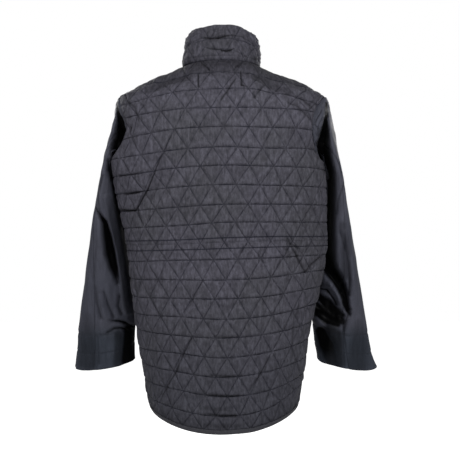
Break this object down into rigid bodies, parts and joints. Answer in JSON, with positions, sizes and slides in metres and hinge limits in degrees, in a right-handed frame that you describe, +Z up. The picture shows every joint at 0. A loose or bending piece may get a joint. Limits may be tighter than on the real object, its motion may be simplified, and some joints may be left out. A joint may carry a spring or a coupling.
{
  "type": "quilted jacket",
  "caption": "Hip-length jacket with triangle-quilted body and stand collar, plain sleeves, bound hem and zip front, shown filled out and hollow with open neck, hem and cuffs.",
  "frame": {"origin": "middle of the neck opening, level with the collar seam at the centre back", "axes": "+Z up; the front and the zip face -Y and the back faces +Y; +X is the wearer's left"},
  "size_m": [0.723, 0.3757, 0.8884],
  "materials": {
    "quilted_cloth": "quilted woven cloth over thin wadding, dark charcoal, slight sheen",
    "plain_cloth": "smooth plain cloth, near black with a blue cast, soft sheen",
    "binding": "folded narrow binding tape, matt",
    "zip_tape": "woven zip tape, matt",
    "zip_teeth": "moulded zip teeth, satin",
    "zip_metal": "dark coated metal, satin"
  },
  "bodies": {
    "garment": {"back": "quilted_cloth", "front_left": "quilted_cloth", "front_right": "quilted_cloth", "collar": "quilted_cloth", "sleeve_upper_left": "plain_cloth", "sleeve_under_left": "plain_cloth", "sleeve_upper_right": "plain_cloth", "sleeve_under_right": "plain_cloth", "hem_binding_back": "binding", "hem_binding_front_left": "binding", "hem_binding_front_right": "binding", "zip_tape_left": "zip_tape", "zip_tape_right": "zip_tape", "zip_chain": "zip_teeth", "zip_box": "zip_metal", "zip_slider": "zip_metal"},
    "pull_tab": {"zip_pull": "zip_metal"}
  },
  "joints": [
    {"name": "pull_swing", "type": "hinge", "parent": "garment", "child": "pull_tab", "pos_m": [0, -0.07539, 0.02481], "axis": [-1, 0, 0], "range_deg": [0, 150]}
  ]
}
